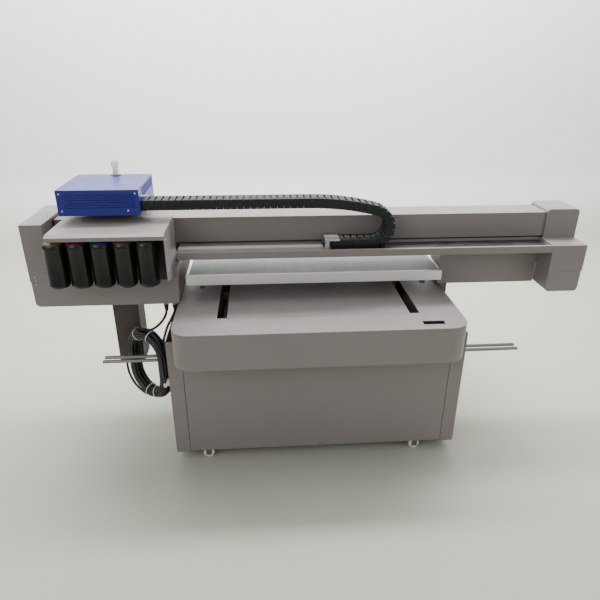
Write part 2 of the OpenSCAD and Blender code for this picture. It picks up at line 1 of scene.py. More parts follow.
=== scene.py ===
"""Looks of the flatbed UV printer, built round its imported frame.

Metres, +X to the operator's right, +Y to the back, +Z up, the floor at z = 0.
"""
import json
import math

import bmesh
import bpy
import numpy as np
from mathutils import Matrix, Vector


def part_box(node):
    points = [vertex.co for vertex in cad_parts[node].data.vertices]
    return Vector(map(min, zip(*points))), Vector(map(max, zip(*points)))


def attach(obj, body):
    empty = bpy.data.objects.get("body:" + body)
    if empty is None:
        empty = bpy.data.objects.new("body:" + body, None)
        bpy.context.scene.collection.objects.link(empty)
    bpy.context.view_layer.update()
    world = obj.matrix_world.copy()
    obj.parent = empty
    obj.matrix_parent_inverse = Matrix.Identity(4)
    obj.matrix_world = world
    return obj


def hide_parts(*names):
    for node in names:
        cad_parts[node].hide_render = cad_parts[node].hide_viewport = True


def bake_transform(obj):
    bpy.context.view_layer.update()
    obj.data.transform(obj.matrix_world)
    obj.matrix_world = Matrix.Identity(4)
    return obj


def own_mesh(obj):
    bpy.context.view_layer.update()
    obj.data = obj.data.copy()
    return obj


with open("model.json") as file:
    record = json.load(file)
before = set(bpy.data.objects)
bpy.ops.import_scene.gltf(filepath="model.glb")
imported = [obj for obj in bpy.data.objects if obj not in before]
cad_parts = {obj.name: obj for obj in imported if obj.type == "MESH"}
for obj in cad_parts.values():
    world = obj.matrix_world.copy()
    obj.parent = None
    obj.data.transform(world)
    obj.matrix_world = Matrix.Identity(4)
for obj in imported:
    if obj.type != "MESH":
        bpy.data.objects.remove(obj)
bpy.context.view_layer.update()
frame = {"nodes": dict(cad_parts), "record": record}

MM = 0.001
record = frame["record"]


# ---------------------------------------------------------------- camera

def aim_camera(place, pitch, yaw, roll, lens):
    """Looks along +Y turned down by pitch and right by yaw; roll lifts its right side."""
    p, w, r = (math.radians(v) for v in (pitch, yaw, roll))
    ahead = Vector((math.sin(w) * math.cos(p), math.cos(w) * math.cos(p), -math.sin(p)))
    level = Vector((math.cos(w), -math.sin(w), 0))
    right = level * math.cos(r) + level.cross(ahead) * math.sin(r)
    above = right.cross(ahead)
    camera = bpy.data.objects.new("camera", bpy.data.cameras.new("camera"))
    camera.data.lens = lens
    camera.data.sensor_width = 36
    turn = Matrix((right, above, -ahead)).transposed().to_4x4()
    camera.matrix_world = Matrix.Translation(place) @ turn
    bpy.context.collection.objects.link(camera)
    bpy.context.scene.camera = camera


aim_camera((-0.2064, -2.2555, 1.5205), 24.6, 4.3, 0.3, 32.19)


# ---------------------------------------------------------------- shader maths

class Signal:
    """A socket that takes part in sums: each operator adds one Math node."""

    def __init__(self, finish, socket):
        self.finish = finish
        self.socket = socket

    def maths(self, operation, *values):
        """One Math node on sockets or plain numbers."""
        return self.finish.node("ShaderNodeMath", {"operation": operation}, dict(enumerate(values)))

    def __add__(self, other):
        return self.maths("ADD", self, other)

    def __sub__(self, other):
        return self.maths("SUBTRACT", self, other)

    def __rsub__(self, other):
        return self.maths("SUBTRACT", other, self)

    def __mul__(self, other):
        return self.maths("MULTIPLY", self, other)

    __radd__ = __add__
    __rmul__ = __mul__

    def above(self, edge, width):
        """0 below the edge, rising to 1 over the width."""
        return self.finish.node("ShaderNodeMapRange", {"clamp": True, "interpolation_type": "SMOOTHSTEP"},
                                {0: self, 1: edge, 2: edge + width, 3: 0.0, 4: 1.0})


class Finish:
    """One material: a Principled shader, with the nodes that feed it."""

    def __init__(self, name, **fixed):
        self.material = bpy.data.materials.new(name)
        self.material.use_nodes = True
        self.tree = self.material.node_tree
        self.shader = self.tree.nodes["Principled BSDF"]
        for socket, value in fixed.items():
            self.shader.inputs[socket.replace("_", " ")].default_value = value
        self.place = self.node("ShaderNodeTexCoord", out="Object")

    def node(self, kind, settings=None, values=None, out=0):
        """Adds a node, gives it its settings, then the values or links of its sockets."""
        made = self.tree.nodes.new(kind)
        for key, value in (settings or {}).items():
            setattr(made, key, value)
        for key, value in (values or {}).items():
            if isinstance(value, Signal):
                self.tree.links.new(value.socket, made.inputs[key])
            else:
                made.inputs[key].default_value = value
        return Signal(self, made.outputs[out])

    def feed(self, **sockets):
        """Links each value to the shader's socket of that name."""
        for key, value in sockets.items():
            self.tree.links.new(value.socket, self.shader.inputs[key.replace("_", " ")])

    def stretched(self, scale, turn=(0, 0, 0)):
        """The place on the piece, scaled and turned, so that a pattern runs in one direction."""
        return self.node("ShaderNodeMapping", None, {"Vector": self.place, "Scale": scale, "Rotation": turn})

    def noise(self, scale, detail=2.0, rough=0.5, at=None):
        return self.node("ShaderNodeTexNoise", None,
                         {"Vector": at or self.place, "Scale": scale, "Detail": detail, "Roughness": rough})

    def cells(self, scale, random):
        """How far each point is from the nearest wall between cells."""
        return self.node("ShaderNodeTexVoronoi", {"feature": "DISTANCE_TO_EDGE"},
                         {"Vector": self.place, "Scale": scale, "Randomness": random})

    def facing_up(self):
        """1 on faces that look up, 0 on upright and lower ones."""
        normal = self.node("ShaderNodeNewGeometry", out="Normal")
        return self.node("ShaderNodeSeparateXYZ", None, {0: normal}, out="Z").above(0.55, 0.4)

    def blend(self, factor, first, second):
        """A colour mixed from two: the first at factor 0, the second at 1."""
        return self.node("ShaderNodeMix", {"data_type": "RGBA"}, {0: factor, 6: first, 7: second}, out=2)

    def bump(self, height, depth, strength=1.0):
        self.feed(Normal=self.node("ShaderNodeBump", None,
                                   {"Height": height, "Distance": depth, "Strength": strength}))


def shade(colour, factor):
    """The colour made darker or lighter by a factor, as red, green, blue and 1."""
    return tuple(min(1.0, c * factor) for c in colour[:3]) + (1.0,)


def paint(name, colour, rough=0.42, peel=0.5, dust=0.10, coat=0.0):
    """Baked powder paint: orange peel, uneven tone, rubbed patches and dust on what faces up."""
    f = Finish(name, Coat_Roughness=0.25, IOR=1.45)
    tone = f.noise(2.2, 3.0, 0.55)
    mottle = f.noise(60, 4.0, 0.6)
    wipes = f.noise(7, 4.0, 0.6, at=f.stretched((1.0, 1.0, 3.5), (0.3, 0.5, 0.2)))
    base = f.blend(tone, shade(colour, 0.93), shade(colour, 1.07))
    base = f.blend(mottle.above(0.45, 0.3) * 0.10, base, shade(colour, 0.75))
    settled = f.facing_up() * f.noise(11, 5.0, 0.65).above(0.30, 0.5) * dust
    base = f.blend(settled, base, (0.52, 0.50, 0.47, 1))
    f.feed(Base_Color=base, Roughness=wipes * 0.22 + settled * 0.3 + (rough - 0.10))
    if coat:
        f.shader.inputs["Coat Weight"].default_value = coat
    fine = f.noise(420, 2.0, 0.5)
    f.bump(fine + f.noise(90, 2.0, 0.5) * 1.5, 0.00035 * peel, 0.6)
    return f.material


def metal(name, colour, rough, grain, bright=0.12):
    """Metal with fine marks along one direction, given as a stretch of the pattern."""
    f = Finish(name, Metallic=1.0)
    lines = f.noise(1.0, 6.0, 0.7, at=f.stretched(grain))
    cloud = f.noise(6, 4.0, 0.6)
    base = f.blend(lines, shade(colour, 1 - bright), shade(colour, 1 + bright))
    base = f.blend(cloud.above(0.52, 0.25) * 0.25, base, shade(colour, 0.72))
    f.feed(Base_Color=base, Roughness=lines * 0.18 + cloud * 0.14 + (rough - 0.14))
    f.bump(lines, 0.00012, 0.5)
    return f.material


def plastic(name, colour, rough, dust=0.3, pale=(0.34, 0.34, 0.32, 1)):
    """Moulded plastic: fine grain, flow marks, and a pale tone on what faces up: dust, and where the weight
    is high also a painted highlight on lit tops.
    """
    f = Finish(name, IOR=1.47)
    flow = f.noise(9, 4.0, 0.6, at=f.stretched((1.0, 2.5, 0.6)))
    grain = f.noise(700, 2.0, 0.5)
    base = f.blend(flow, shade(colour, 0.8), shade(colour, 1.25))
    # Pale tone on upward faces: dust. With a high weight, as on the chain, it is also a painted highlight on
    # the lit tops.
    settled = f.facing_up() * f.noise(35, 5.0, 0.7).above(0.36, 0.35) * dust
    base = f.blend(settled, base, pale)
    f.feed(Base_Color=base, Roughness=flow * 0.2 + settled * 0.4 + (rough - 0.1))
    f.bump(grain + f.noise(160, 2.0, 0.5), 0.0002, 0.5)
    return f.material


def honeycomb(name):
    """Table skin: rows of small open cells in a thin bright web, duller where sheets have lain."""
    f = Finish(name, IOR=1.5)
    web = f.cells(150, random=0.25)
    rim = 1 - web.above(0.06, 0.10)
    wear = f.noise(3.5, 4.0, 0.6, at=f.stretched((1.0, 0.5, 1.0)))
    strips = f.noise(1.0, 3.0, 0.5, at=f.stretched((55, 1.2, 1)))
    face = f.blend(wear, (0.22, 0.225, 0.225, 1), (0.31, 0.315, 0.315, 1))
    face = f.blend(strips.above(0.45, 0.2) * 0.35, face, (0.42, 0.43, 0.43, 1))
    f.feed(Base_Color=f.blend(rim * 0.6, face, (0.60, 0.61, 0.62, 1)),
           Metallic=rim * 0.5, Roughness=wear * 0.2 + 0.38)
    f.bump(rim, 0.0006, 0.6)
    return f.material


def sheath(name, colour):
    """Cable jacket: satin, with a faint fine grain and rubbed dusty spots."""
    f = Finish(name, IOR=1.48)
    rub = f.noise(28, 4.0, 0.6)
    base = f.blend(rub, shade(colour, 0.7), shade(colour, 1.5))
    base = f.blend(f.facing_up() * rub.above(0.5, 0.2) * 0.3, base, (0.25, 0.25, 0.24, 1))
    f.feed(Base_Color=base, Roughness=rub * 0.25 + 0.28)
    f.bump(f.noise(350, 3.0, 0.6), 0.0003, 0.4)
    return f.material


def clear(name):
    """Clear moulded plastic, slightly frosted."""
    f = Finish(name, Transmission_Weight=0.75, IOR=1.46)
    frost = f.noise(120, 4.0, 0.6)
    f.feed(Base_Color=f.blend(frost, (0.86, 0.88, 0.90, 1), (0.97, 0.98, 0.99, 1)),
           Roughness=frost * 0.25 + 0.1)
    f.bump(f.noise(200), 0.0002, 0.4)
    return f.material


TAUPE = (0.235, 0.208, 0.200)
FINISHES = {
    "taupe_paint": paint("taupe_paint", TAUPE, 0.45),
    "frame_paint": paint("frame_paint", (0.10, 0.10, 0.105), 0.5),
    "duct_paint": paint("duct_paint", (0.062, 0.042, 0.038), 0.42),
    "blue_paint": paint("blue_paint", (0.010, 0.016, 0.22), 0.44, 0.4, 0.03, 0.2),
    "blue_grille": paint("blue_grille", (0.03, 0.05, 0.34), 0.45, 0.4, 0.05),
    "motor_paint": paint("motor_paint", (0.018, 0.018, 0.02), 0.38),
    "cast_paint": paint("cast_paint", (0.10, 0.105, 0.11), 0.55, 2.0),
    "fork_plate": paint("fork_plate", (0.15, 0.11, 0.09), 0.35),
    "brushed_along_x": metal("brushed_along_x", (0.60, 0.60, 0.61), 0.34, (4, 700, 700)),
    "brushed_along_y": metal("brushed_along_y", (0.62, 0.63, 0.64), 0.32, (700, 4, 700)),
    "ground_plate": metal("ground_plate", (0.46, 0.47, 0.48), 0.40, (300, 12, 300)),
    "dull_rod": metal("dull_rod", (0.30, 0.29, 0.28), 0.42, (4, 500, 500)),
    "table_edge": metal("table_edge", (0.88, 0.89, 0.90), 0.36, (3, 500, 500), 0.05),
    "honeycomb": honeycomb("honeycomb"),
    "black_plastic": plastic("black_plastic", (0.012, 0.012, 0.013), 0.5, 0.1),
    # The chain's plastic: its strong pale tone on upward faces is partly dust and partly a painted highlight
    # on the lit tops of the links. The undersides of the bend stay dark.
    "chain_plastic": plastic("chain_plastic", (0.007, 0.008, 0.010), 0.56, 0.9,
                             pale=(0.070, 0.076, 0.071, 1)),
    "bottle_black": plastic("bottle_black", (0.006, 0.005, 0.006), 0.24, 0.05),
    "foot_rubber": plastic("foot_rubber", (0.02, 0.02, 0.02), 0.65),
    "belt_rubber": plastic("belt_rubber", (0.015, 0.015, 0.015), 0.7),
    "white_nylon": plastic("white_nylon", (0.82, 0.82, 0.80), 0.38, 0.15),
    "white_plastic": plastic("white_plastic", (0.85, 0.85, 0.83), 0.4, 0.1),
    "lead_black": sheath("lead_black", (0.014, 0.014, 0.017)),
    "lead_white": sheath("lead_white", (0.75, 0.75, 0.73)),
    "clear_plastic": clear("clear_plastic"),
    "yellow_cap": plastic("yellow_cap", (0.16, 0.12, 0.02), 0.16, 0.05),
    "magenta_cap": plastic("magenta_cap", (0.13, 0.010, 0.05), 0.16, 0.05),
    "cyan_cap": plastic("cyan_cap", (0.015, 0.045, 0.16), 0.16, 0.05),
    "pink_cap": plastic("pink_cap", (0.12, 0.07, 0.085), 0.16, 0.05),
    "grey_cap": plastic("grey_cap", (0.06, 0.055, 0.055), 0.20, 0.05),
}


# ---------------------------------------------------------------- surfaces

def grid(rows, columns, closed=True):
    """Quads between neighbouring rows, wrapped round the columns where the rows are closed."""
    i, j = np.meshgrid(np.arange(rows - 1), np.arange(columns if closed else columns - 1), indexing="ij")
    k = (j + 1) % columns
    corners = [i * columns + j, i * columns + k, (i + 1) * columns + k, (i + 1) * columns + j]
    return np.stack(corners, -1).reshape(-1, 4)


def loft(rings):
    """Closed rings joined one to the next, with a flat face over the first and the last."""
    rows, columns = rings.shape[:2]
    ends = [np.arange(columns)[::-1], np.arange(columns) + (rows - 1) * columns]
    return rings.reshape(-1, 3), list(grid(rows, columns)) + ends


def turned(profile, centre, axis=(0, 0, 1), sides=40):
    """A profile of radius and height turned round an axis through the centre."""
    profile = np.asarray(profile, float)
    ahead = np.asarray(axis, float)
    side = np.cross(ahead, (1, 0, 0) if abs(ahead[0]) < 0.9 else (0, 1, 0))
    side = side / np.linalg.norm(side)
    angle = np.linspace(0, 2 * np.pi, sides, endpoint=False)
    round_ = np.cos(angle)[:, None] * side + np.sin(angle)[:, None] * np.cross(ahead, side)
    return loft(np.asarray(centre) + profile[:, :1, None] * round_ + profile[:, 1:, None] * ahead)


def ring(profile, centre, axis=(0, 0, 1), sides=32):
    """A closed profile turned round an axis, its last ring joined back to its first."""
    points, faces = turned(profile, centre, axis, sides)
    j = np.arange(sides)
    k = (j + 1) % sides
    last = (len(profile) - 1) * sides
    return points, faces[:-2] + list(np.stack([last + j, last + k, k, j], -1))


def block(low, high, roll=0.001, steps=1):
    """A box whose points are pushed out from an inner box by the radius of its rolled edges."""
    low, high = np.asarray(low, float), np.asarray(high, float)
    half, middle = (high - low) / 2, (high + low) / 2
    roll = min(roll, half.min() * 0.98)
    strip = roll * np.tan(np.linspace(0, np.pi / 4, steps + 1))
    lines = [np.concatenate([-(h - roll) - strip[::-1], (h - roll) + strip]) for h in half]
    count = 2 * (steps + 1)
    points, faces = [], []
    for axis in range(3):
        a, b = (axis + 1) % 3, (axis + 2) % 3
        u, v = np.meshgrid(lines[a], lines[b], indexing="ij")
        for sign in (-1, 1):
            side = np.empty((count, count, 3))
            side[..., a], side[..., b], side[..., axis] = u, v, sign * half[axis]
            faces.append(grid(count, count, False) + sum(len(p) for p in points))
            points.append(side.reshape(-1, 3))
    points = np.concatenate(points)
    inner = np.clip(points, -(half - roll), half - roll)
    push = points - inner
    points = inner + push * roll / np.linalg.norm(push, axis=1, keepdims=True)
    kept, back = np.unique(np.round(points, 7), axis=0, return_inverse=True)
    return kept + middle, list(back.reshape(-1)[np.concatenate(faces)])


def tube(path, radius, sides=10, across=(0, 0, 1)):
    """A round section carried along a path; one fixed direction keeps the sections from twisting."""
    path = np.asarray(path, float)
    ahead = np.gradient(path, axis=0)
    ahead /= np.linalg.norm(ahead, axis=1, keepdims=True)
    side = np.cross(ahead, np.asarray(across, float))
    side /= np.linalg.norm(side, axis=1, keepdims=True)
    other = np.cross(ahead, side)
    angle = np.linspace(0, 2 * np.pi, sides, endpoint=False)
    radius = np.broadcast_to(radius, len(path))[:, None, None]
    section = np.cos(angle)[None, :, None] * side[:, None] + np.sin(angle)[None, :, None] * other[:, None]
    return loft(path[:, None] + radius * section)


def joined(parts):
    """Several surfaces as one."""
    points, faces, start = [], [], 0
    for part, quads in parts:
        points.append(part)
        faces += [np.asarray(q) + start for q in quads]
        start += len(part)
    return np.concatenate(points), faces


def smooth_path(points, count):
    """A curve through the points, even in its knots: each stretch is a cubic of four neighbours."""
    p = np.asarray(points, float)
    p = np.concatenate([2 * p[:1] - p[1:2], p, 2 * p[-1:] - p[-2:-1]])
    t = np.linspace(0, len(points) - 1 - 1e-9, count)
    i = t.astype(int)
    f = (t - i)[:, None]
    a, b, c, d = p[i], p[i + 1], p[i + 2], p[i + 3]
    return 0.5 * (2 * b + (c - a) * f + (2 * a - 5 * b + 4 * c - d) * f**2 + (3 * b - a - 3 * c + d) * f**3)


def make(name, surface, finish, body, replaces=()):
    """Puts a surface into a mesh, turns its faces outwards and lets it ride on a body."""
    points, faces = surface
    mesh = bpy.data.meshes.new(name)
    mesh.from_pydata(np.asarray(points).tolist(), [], [np.asarray(f).tolist() for f in faces])
    work = bmesh.new()
    work.from_mesh(mesh)
    bmesh.ops.recalc_face_normals(work, faces=work.faces)
    work.to_mesh(mesh)
    work.free()
    return dress(name, mesh, finish, body, replaces)


def dress(name, mesh, finish, body, replaces=(), smooth=40):
    """A piece with its finish, smooth but for edges sharper than the angle, riding on its body."""
    mesh.shade_smooth()
    mesh.set_sharp_from_angle(angle=math.radians(smooth))
    mesh.materials.clear()
    mesh.materials.append(FINISHES[finish])
    piece = bpy.data.objects.new(name, mesh)
    bpy.context.collection.objects.link(piece)
    if body:
        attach(piece, body)
    if replaces:
        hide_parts(*replaces)
    return piece


BODY_OF = {node: body for body, nodes in record["behaviour"]["bodies"].items() for node in nodes}


def rolled(node, radius, finish):
    """The node's own surface, merged and with its edges rolled to a small radius."""
    work = bmesh.new()
    work.from_mesh(frame["nodes"][node].data)
    bmesh.ops.remove_doubles(work, verts=work.verts, dist=2e-5)
    bmesh.ops.dissolve_limit(work, angle_limit=math.radians(0.5), verts=work.verts, edges=work.edges)
    mesh = bpy.data.meshes.new(node + "_skin")
    work.to_mesh(mesh)
    work.free()
    piece = dress(node + "_skin", mesh, finish, BODY_OF[node], (node,), 30)
    edge = piece.modifiers.new("rolled_edge", "BEVEL")
    edge.width = radius
    edge.segments = 2
    edge.limit_method = "ANGLE"
    edge.angle_limit = math.radians(35)
    edge.harden_normals = True
    return piece


# ---------------------------------------------------------------- leads

LEAD = 0.010
COIL = np.array((-0.670, -0.350, 0.384))
COIL_TURN = math.radians(-40)
COIL_ACROSS = np.array((math.cos(COIL_TURN), math.sin(COIL_TURN), 0))
COIL_NORMAL = np.array((math.sin(COIL_TURN), -math.cos(COIL_TURN), 0))
COIL_LOOP = 0.090
COIL_SIDE = 0.042
ROUND_TRIP = 2 * math.pi * COIL_LOOP + 4 * COIL_SIDE
POINTS_A_TURN = 44
SHIFT_FROM = 0.78
SHIFT_SHARE = 0.2


def on_coil(turns, outwards, sideways, way):
    """Points on the hank: round a loop with straight sides, at an offset from its middle line."""
    quarter = math.pi * COIL_LOOP / 2
    s = np.mod(turns, 1) * ROUND_TRIP
    arc = [s / COIL_LOOP, np.full_like(s, math.pi / 2),
           (s - 2 * COIL_SIDE) / COIL_LOOP, np.full_like(s, 1.5 * math.pi),
           (s - 4 * COIL_SIDE) / COIL_LOOP]
    edges = np.cumsum([quarter, 2 * COIL_SIDE, 2 * quarter, 2 * COIL_SIDE])
    where = [s < edges[0], s < edges[1], s < edges[2], s < edges[3]]
    angle = np.select(where, arc[:4], arc[4])
    top = np.full_like(s, COIL_SIDE)
    up = np.select(where, [top, COIL_SIDE - (s - edges[0]), -top, (s - edges[2]) - COIL_SIDE], top)
    reach = COIL_LOOP + outwards
    u = way * np.sin(angle) * reach
    w = np.cos(angle) * reach + up
    return (COIL + u[:, None] * COIL_ACROSS + w[:, None] * np.array((0, 0, 1))
            + sideways[:, None] * COIL_NORMAL)


def wound(seats, start, turns, way, droop=None):
    """A strand that keeps to one seat of the bundle for most of a turn and then shifts to the next."""
    t = np.linspace(start, start + turns, int(turns * POINTS_A_TURN))
    seats = np.asarray(seats, float) * MM
    step = np.clip((np.mod(t, 1) - SHIFT_FROM) / SHIFT_SHARE, 0, 1)
    step = step * step * (3 - 2 * step)
    now = np.minimum(t.astype(int), len(seats) - 1)
    after = np.minimum(now + 1, len(seats) - 1)
    seat = seats[now] * (1 - step)[:, None] + seats[after] * step[:, None]
    out = seat[:, 0].copy()
    if droop:
        first, last, depth = droop
        out += depth * np.sin(np.pi * np.clip((t - first) / (last - first), 0, 1)) ** 2
    return on_coil(t, out, seat[:, 1], way)


def lead(name, node, route, strand, end):
    """A lead from its gland down its route, round the hank, and out along its end to its connector."""
    start = np.concatenate([np.asarray(route) * MM, strand[2:5]])
    start = smooth_path(start, 40)
    last = smooth_path(np.concatenate([strand[-3:], np.asarray(end) * MM]), 20)
    path = np.concatenate([start, strand[5:-3], last])
    piece = make(name, tube(path, LEAD / 2, 10, COIL_NORMAL), "lead_black", "base", (node,))
    return piece


LEFT_ROUTE = [(-584, -330, 634), (-584, -330, 616), (-587, -338, 597), (-596, -350, 580), (-610, -361, 565),
              (-627, -368, 553), (-643, -368, 544), (-656, -362, 539)]
RIGHT_ROUTE = [(-551, -330, 634), (-551, -330, 616), (-557, -340, 597), (-568, -353, 577), (-580, -367, 557),
               (-588, -378, 537), (-594, -387, 517), (-597, -394, 498)]
LOOP_ROUTE = [(-641, -312, 1056), (-630, -312, 1056), (-619, -307, 1055), (-613, -296, 1052),
              (-615, -284, 1049), (-626, -277, 1047), (-641, -277, 1047)]
LEFT_SEATS = [(15, 8.7), (10, 17.4), (0, 17.4), (-10, 17.4), (-15, 8.7), (-5, 8.7), (5, 8.7), (20, 0)]
RIGHT_SEATS = [(15, -8.7), (10, -17.4), (0, -17.4), (-10, -17.4), (-15, -8.7), (-5, -8.7), (5, -8.7), (0, 0),
               (10, 0)]
LEFT_END = [(-593, -414, 288), (-584, -427, 305), (-581, -433, 319)]
RIGHT_END = [(-596, -424, 368), (-599, -433, 354), (-600, -436, 341)]
# The turns between which the left lead hangs loose from the hank, and how far, in metres.
LEFT_DROOP = (7.18, 7.54, 0.052)

white_plug = make("white_connector", joined([
    block((-0.594, -0.446, 0.332), (-0.577, -0.424, 0.350), 0.0015),
    block((-0.5925, -0.4445, 0.350), (-0.5785, -0.4255, 0.356), 0.001),
    block((-0.5945, -0.4465, 0.337), (-0.5765, -0.4235, 0.340), 0.0008)]),
    "white_plastic", "base", ("lead_plugs",))
plug_boot = make("connector_boot", joined([
    block((-0.586, -0.440, 0.318), (-0.576, -0.426, 0.332), 0.0015),
    block((-0.5865, -0.4405, 0.326), (-0.5755, -0.4255, 0.329), 0.0008)]),
    "black_plastic", "base")
small_plug = make("small_connector", joined([
    block((-0.606, -0.444, 0.326), (-0.594, -0.428, 0.340), 0.0015),
    block((-0.604, -0.442, 0.322), (-0.596, -0.430, 0.326), 0.001)]),
    "white_plastic", "base")
left_strand = wound(LEFT_SEATS, 0.0, 7.60, -1, LEFT_DROOP)
left_run = lead("left_lead_run", "left_lead", LEFT_ROUTE, left_strand, LEFT_END)
right_strand = wound(RIGHT_SEATS, 0.125, 8.125, 1)
lead("right_lead_run", "right_lead", RIGHT_ROUTE, right_strand, RIGHT_END)
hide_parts("left_lead", "lead_coil")
boot_profile = [(6.0, 0), (6.3, -1), (9.5, -22), (9.8, -28), (5.1, -28), (5.1, 0)]
make("lead_boots", joined([ring([(r * MM, -h * MM) for r, h in boot_profile], (x, -0.330, 0.606), sides=24)
                           for x in (-0.584, -0.551)]), "black_plastic", "base")

loop_path = smooth_path(np.asarray(LOOP_ROUTE) * MM, 30)
loop = make("carriage_loop", tube(loop_path, 0.0025), "lead_white", "carriage",
            ("carriage_lead",))


# ---------------------------------------------------------------- stage

def stage():
    """A pale floor that turns up into a paler wall far behind, as one bent sheet."""
    far, bend = 1.9, 0.6
    turn = np.linspace(0.1, np.pi / 2, 12)
    y = np.concatenate([np.linspace(-7, far, 12), far + bend * np.sin(turn), np.full(6, far + bend)])
    z = np.concatenate([np.zeros(12), bend - bend * np.cos(turn), np.linspace(2 * bend, 6, 6)])
    x = np.linspace(-7, 7, 2)
    sheet = [np.repeat(x[None], len(y), 0), np.repeat(y[:, None], 2, 1), np.repeat(z[:, None], 2, 1)]
    points = np.stack(sheet, -1)
    mesh = bpy.data.meshes.new("floor")
    mesh.from_pydata(points.reshape(-1, 3).tolist(), [], grid(len(y), 2, False).tolist())
    mesh.shade_smooth()
    f = Finish("pale_floor", Roughness=0.55)
    height = f.node("ShaderNodeSeparateXYZ", None, {0: f.place}, out="Z").above(0.02, 0.5)
    ground = f.blend(f.noise(1.3, 4.0, 0.6), (0.46, 0.475, 0.385, 1), (0.51, 0.52, 0.43, 1))
    f.feed(Base_Color=f.blend(height, ground, (0.90, 0.90, 0.89, 1)))
    mesh.materials.append(f.material)
    floor = bpy.data.objects.new("floor", mesh)
    bpy.context.collection.objects.link(floor)


def soft_light(name, place, target, size, power):
    """A white rectangular light of a width and height, turned towards its target."""
    lamp = bpy.data.lights.new(name, "AREA")
    lamp.shape = "RECTANGLE"
    lamp.size, lamp.size_y = size
    lamp.energy = power
    held = bpy.data.objects.new(name, lamp)
    held.location = place
    held.rotation_euler = (Vector(target) - Vector(place)).to_track_quat("-Z", "Y").to_euler()
    bpy.context.collection.objects.link(held)


stage()
soft_light("overhead", (0.2, 0.5, 3.6), (0, 0.1, 0.5), (4.5, 2.5), 125)
soft_light("wall_wash", (0.0, 0.9, 3.9), (0, 2.5, 1.7), (6.0, 1.0), 400)
soft_light("front_left", (-2.6, -3.2, 2.6), (0, 0, 0.6), (2.4, 2.0), 36)
soft_light("front_right", (3.2, -2.4, 2.2), (0, 0, 0.6), (2.0, 2.0), 18)
world = bpy.data.worlds.new("studio")
world.use_nodes = True
world.node_tree.nodes["Background"].inputs["Color"].default_value = (0.95, 0.97, 1.0, 1)
world.node_tree.nodes["Background"].inputs["Strength"].default_value = 0.46
bpy.context.scene.world = world


# ---------------------------------------------------------------- sheet metal and frame

for node, radius, finish in (
        ("front_panel", 0.8, "taupe_paint"), ("left_side_panel", 0.8, "taupe_paint"),
        ("right_side_panel", 0.8, "taupe_paint"), ("rear_panel", 0.8, "taupe_paint"),
        ("hood", 1.3, "taupe_paint"), ("centre_deck", 1.0, "taupe_paint"),
        ("upper_cover", 0.9, "taupe_paint"), ("chain_shelf", 1.2, "taupe_paint"),
        ("lower_cover", 0.9, "taupe_paint"), ("right_end_box", 1.1, "taupe_paint"),
        ("right_end_base", 1.1, "taupe_paint"), ("right_cap", 1.1, "taupe_paint"),
        ("left_housing", 1.1, "taupe_paint"), ("left_base", 1.1, "taupe_paint"),
        ("ink_hood", 0.9, "taupe_paint"), ("left_column", 1.3, "duct_paint"),
        ("carriage_cover", 0.9, "blue_paint"), ("table_frame", 1.2, "table_edge"),
        ("table_supports", 1.5, "frame_paint"), ("chain_clamp", 0.8, "ground_plate"),
        ("base_frame", 3.0, "frame_paint"), ("control_panel", 1.0, "black_plastic"),
        ("levelling_feet", 1.0, "foot_rubber"), ("head_plate", 1.0, "ground_plate"),
        ("print_heads", 1.5, "motor_paint"), ("uv_lamps", 1.5, "motor_paint"),
        ("carriage_frame", 0.8, "ground_plate"), ("y_motor", 2.0, "motor_paint"),
        ("x_motor", 2.0, "motor_paint"), ("cap_station", 1.5, "black_plastic"),
        ("screw_bearings", 1.5, "cast_paint"), ("rail_blocks", 1.0, "ground_plate"),
        # Bottle rack: black plastic whose black is partly its own colour and partly painted shade for the
        # dark recess behind the bottles.
        ("bottle_rack", 1.0, "black_plastic"),
        ("front_left_fork", 0.8, "fork_plate"), ("front_right_fork", 0.8, "fork_plate"),
        ("rear_left_fork", 0.8, "fork_plate"), ("rear_right_fork", 0.8, "fork_plate")):
    rolled(node, radius * MM, finish)

for node, finish in (
        ("gantry_beam", "frame_paint"), ("carry_rods", "dull_rod"), ("y_rails", "brushed_along_y"),
        ("x_rails", "brushed_along_x"), ("y_screw", "brushed_along_y"), ("drive_pulley", "ground_plate"),
        ("idler_pulley", "ground_plate"), ("x_belt", "belt_rubber"), ("table_top", "honeycomb")):
    mesh = frame["nodes"][node].data
    mesh.materials.clear()
    mesh.materials.append(FINISHES[finish])


# ---------------------------------------------------------------- casters

for end in ("front", "rear"):
    for side in ("left", "right"):
        node = f"{end}_{side}_wheel"
        low, high = (np.array(v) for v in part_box(node))
        half = (high - low)[1] / 2
        tread = [(4, -1), (15, -1), (16, -0.72), (19, -0.72), (21, -0.66), (22, -0.4), (22, 0.4), (21, 0.66),
                 (19, 0.72), (16, 0.72), (15, 1), (4, 1)]
        profile = [(r * MM, h * half) for r, h in tread]
        make(node + "_tyre", turned(profile, (low + high) / 2, (0, 1, 0), 48), "white_nylon",
             BODY_OF[node], (node,))


# ---------------------------------------------------------------- cable chain

LINK = 0.025
CHAIN_Y = -0.310
LINK_PARTS = [
    block((0.0002, 0, -0.0185), (0.0248, 0.0046, 0.0185), 0.0012),
    block((0.0002, 0.0674, -0.0185), (0.0248, 0.0720, 0.0185), 0.0012),
    block((0.0040, 0.0044, 0.0150), (0.0222, 0.0676, 0.0189), 0.0010),
    block((0.0040, 0.0044, -0.0189), (0.0222, 0.0676, -0.0150), 0.0010),
    block((0, 0.0070, -0.0120), (0.0250, 0.0650, 0.0120), 0.0006),
    turned([(0.0062, 0.0002), (0.0062, -0.0007), (0.0050, -0.0011)], (0.0125, 0, 0), (0, 1, 0), 10),
    turned([(0.0062, -0.0002), (0.0062, 0.0007), (0.0050, 0.0011)], (0.0125, 0.0720, 0), (0, 1, 0), 10),
]


